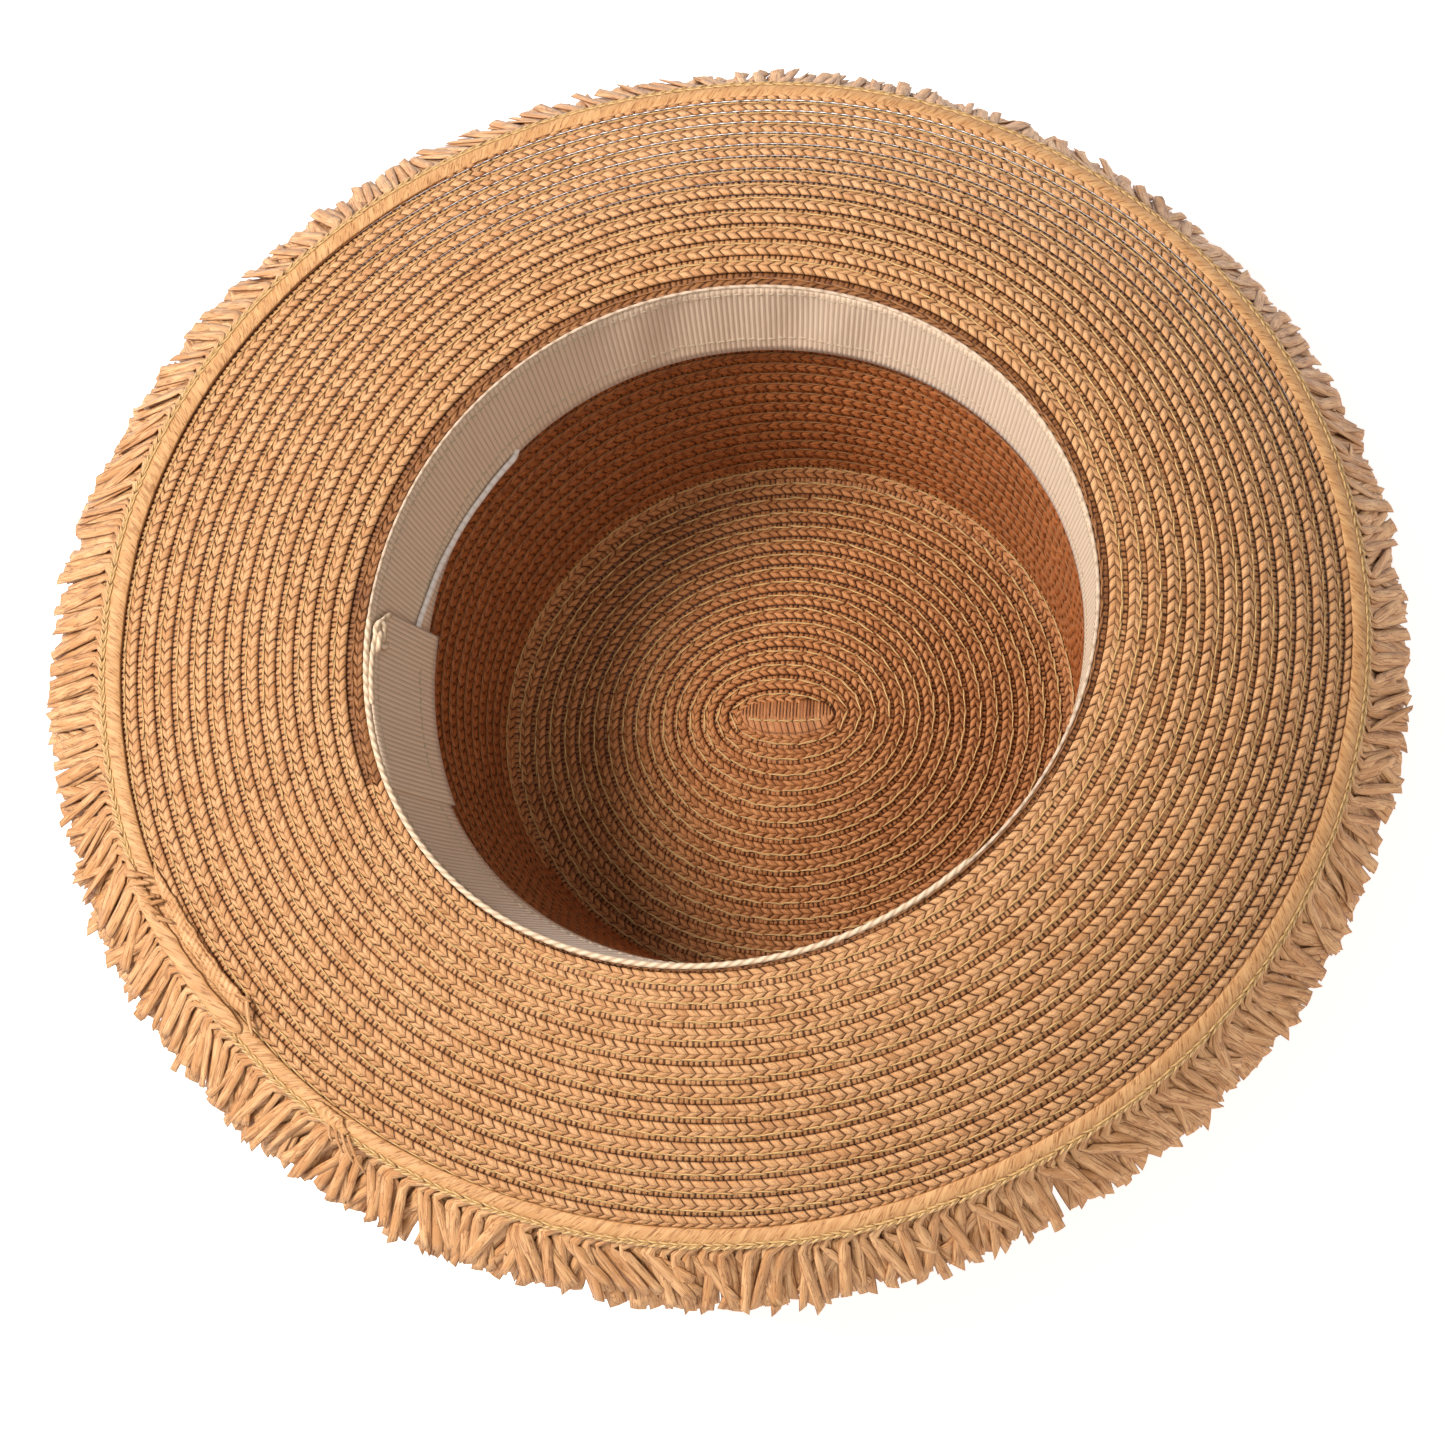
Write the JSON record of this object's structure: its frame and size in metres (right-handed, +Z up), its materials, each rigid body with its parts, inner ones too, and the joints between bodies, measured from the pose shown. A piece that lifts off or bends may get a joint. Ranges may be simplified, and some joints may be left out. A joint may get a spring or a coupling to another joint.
{
  "type": "straw sun hat",
  "caption": "Wide-brimmed sewn paper-straw sun hat with a frayed raffia edge, a grosgrain sweatband and a drawcord, standing crown down.",
  "frame": {"origin": "middle of the crown's tip, at the height of the surface that the crown stands on", "axes": "+Z up the crown's axis and out of the head opening (the hat stands crown down), +X along the hat's long axis, -Y towards the side shown nearest"},
  "size_m": [0.3533, 0.339, 0.107],
  "materials": {
    "straw_braid": "plaited paper straw, dry, slight sheen on the raised plaits",
    "raffia": "flat twisted-paper raffia with fine lengthwise fibres",
    "straw_thread": "olive-gold sewing thread",
    "grosgrain": "beige ribbed grosgrain ribbon, soft sheen",
    "cream_thread": "cream sewing thread",
    "cream_cord": "cream twisted cord",
    "white_tape": "white woven tape"
  },
  "bodies": {
    "root": {"crown_button": "straw_braid", "crown_tip_braid": "straw_braid", "crown_side_braid": "straw_braid", "brim_inner_braid": "straw_braid", "brim_outer_braid": "straw_braid", "braid_end": "straw_braid", "trim_header": "raffia", "trim_stitching": "straw_thread", "trim_splice": "raffia", "fringe_upper": "raffia", "fringe_lower": "raffia", "sweatband": "grosgrain", "sweatband_lap": "grosgrain", "sweatband_stitching": "cream_thread", "selvedge_cord": "cream_cord", "selvedge_knot": "cream_cord", "drawcord": "white_tape"}
  },
  "joints": []
}
